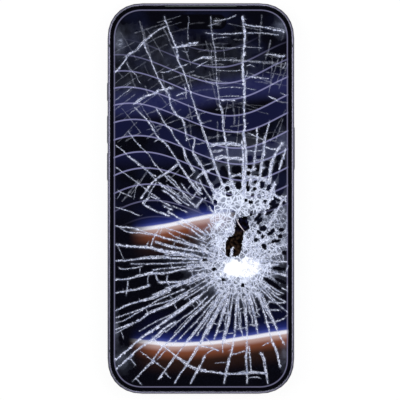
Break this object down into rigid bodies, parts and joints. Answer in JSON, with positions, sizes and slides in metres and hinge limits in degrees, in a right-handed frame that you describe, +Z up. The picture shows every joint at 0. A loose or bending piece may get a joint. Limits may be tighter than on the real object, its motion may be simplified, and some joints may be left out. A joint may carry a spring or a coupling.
{
  "type": "shattered screen phone",
  "caption": "Slab smartphone lying on its back, its front glass shattered by one blow, with press buttons and a sliding card tray.",
  "frame": {"origin": "centre of the bounding box's bottom face, under the middle of the phone, level with the faces of the lens rings", "axes": "+X to the right and +Y towards the earpiece as seen from the front, +Z up, out of the screen"},
  "size_m": [0.0724, 0.1496, 0.0115],
  "materials": {
    "band": "satin anodised, dark blue-grey",
    "cover_glass": "clear gloss with white frosted fractures",
    "back_glass": "frosted, opaque dark blue-grey",
    "display": null,
    "steel": "satin",
    "dark_plastic": "fine matte",
    "polymer": "satin",
    "mesh": "fine woven mesh",
    "lens": "coated, polished",
    "flash": "ribbed diffuser",
    "battery": "foil pouch",
    "board": "solder mask",
    "shield": "tinned sheet",
    "copper": "wound copper",
    "flex": "polyimide film"
  },
  "bodies": {
    "phone": {"frame": "band", "camera_island": "band", "lens_ring_1": "band", "lens_ring_2": "band", "lens_ring_3": "band", "cover_glass": "cover_glass", "back_glass": "back_glass", "display_panel": "display", "display_backplate": "steel", "side_switch": "steel", "action_switch": "steel", "volume_up_switch": "steel", "volume_down_switch": "steel", "switch_strip_left": "steel", "switch_strip_right": "steel", "vibration_motor": "steel", "port_shell": "steel", "board_screw_1": "steel", "board_screw_2": "steel", "board_screw_3": "steel", "charge_board_screw_1": "steel", "charge_board_screw_2": "steel", "display_bracket": "dark_plastic", "front_camera": "dark_plastic", "proximity_sensor": "dark_plastic", "earpiece_speaker": "dark_plastic", "loudspeaker": "dark_plastic", "rear_camera_1": "dark_plastic", "rear_camera_2": "dark_plastic", "rear_camera_3": "dark_plastic", "port_tongue": "dark_plastic", "antenna_break_top_left": "polymer", "antenna_break_top_right": "polymer", "antenna_break_bottom_left": "polymer", "antenna_break_bottom_right": "polymer", "earpiece_mesh": "mesh", "lens_cover_1": "lens", "lens_cover_2": "lens", "lens_cover_3": "lens", "flash_lens": "flash", "battery": "battery", "logic_board": "board", "charge_board": "board", "cpu_shield": "shield", "radio_shield": "shield", "card_reader": "shield", "charging_coil": "copper", "main_cable": "flex", "battery_cable": "flex", "display_cable": "flex"},
    "side_button": {"side_button": "band"},
    "action_button": {"action_button": "band"},
    "volume_up_button": {"volume_up_button": "band"},
    "volume_down_button": {"volume_down_button": "band"},
    "card_tray": {"card_tray": "band"}
  },
  "joints": [
    {"name": "side_button_press", "type": "slide", "parent": "phone", "child": "side_button", "axis": [-1, 0, 0], "range_m": [0, 0.0003], "stiffness_N_per_m": 4000, "springref_m": -0.0003},
    {"name": "action_button_press", "type": "slide", "parent": "phone", "child": "action_button", "axis": [1, 0, 0], "range_m": [0, 0.0003], "stiffness_N_per_m": 4000, "springref_m": -0.0003},
    {"name": "volume_up_press", "type": "slide", "parent": "phone", "child": "volume_up_button", "axis": [1, 0, 0], "range_m": [0, 0.0003], "stiffness_N_per_m": 4000, "springref_m": -0.0003},
    {"name": "volume_down_press", "type": "slide", "parent": "phone", "child": "volume_down_button", "axis": [1, 0, 0], "range_m": [0, 0.0003], "stiffness_N_per_m": 4000, "springref_m": -0.0003},
    {"name": "card_tray_slide", "type": "slide", "parent": "phone", "child": "card_tray", "axis": [0, -1, 0], "range_m": [0, 0.0155]}
  ]
}
